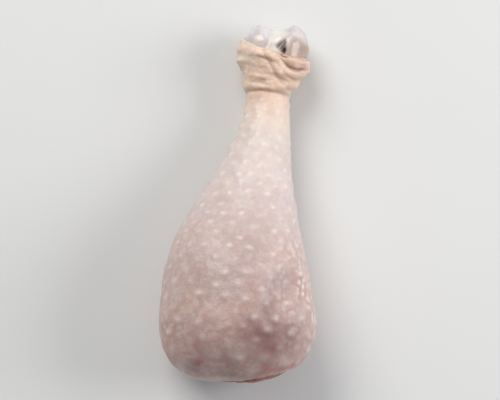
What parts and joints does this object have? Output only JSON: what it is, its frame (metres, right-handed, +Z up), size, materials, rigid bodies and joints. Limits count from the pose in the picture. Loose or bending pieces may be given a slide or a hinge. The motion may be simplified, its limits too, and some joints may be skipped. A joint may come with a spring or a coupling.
{
  "type": "raw chicken drumstick",
  "caption": "Raw chicken drumstick lying on its side: skin sleeve with a folded ankle cuff, meat showing at the slanting knee cut, and a leg bone with a two-lobed gristle knuckle.",
  "frame": {"origin": "bottom centre of the bounding box, on the surface that the drumstick rests on", "axes": "+Y along the leg from the cut knee end to the ankle knuckle, +X towards the shin side, +Z up out of the shown side"},
  "size_m": [0.057, 0.1356, 0.0456],
  "materials": {
    "skin": "moist skin and fat, cream at the shank to pink and mauve over the calf, semi-gloss",
    "meat": "moist raw muscle, pink, semi-gloss",
    "bone": "wet gristle over bone, pale lavender white, glossy"
  },
  "bodies": {
    "root": {"skin": "skin", "meat": "meat", "leg_bone": "bone"}
  },
  "joints": []
}
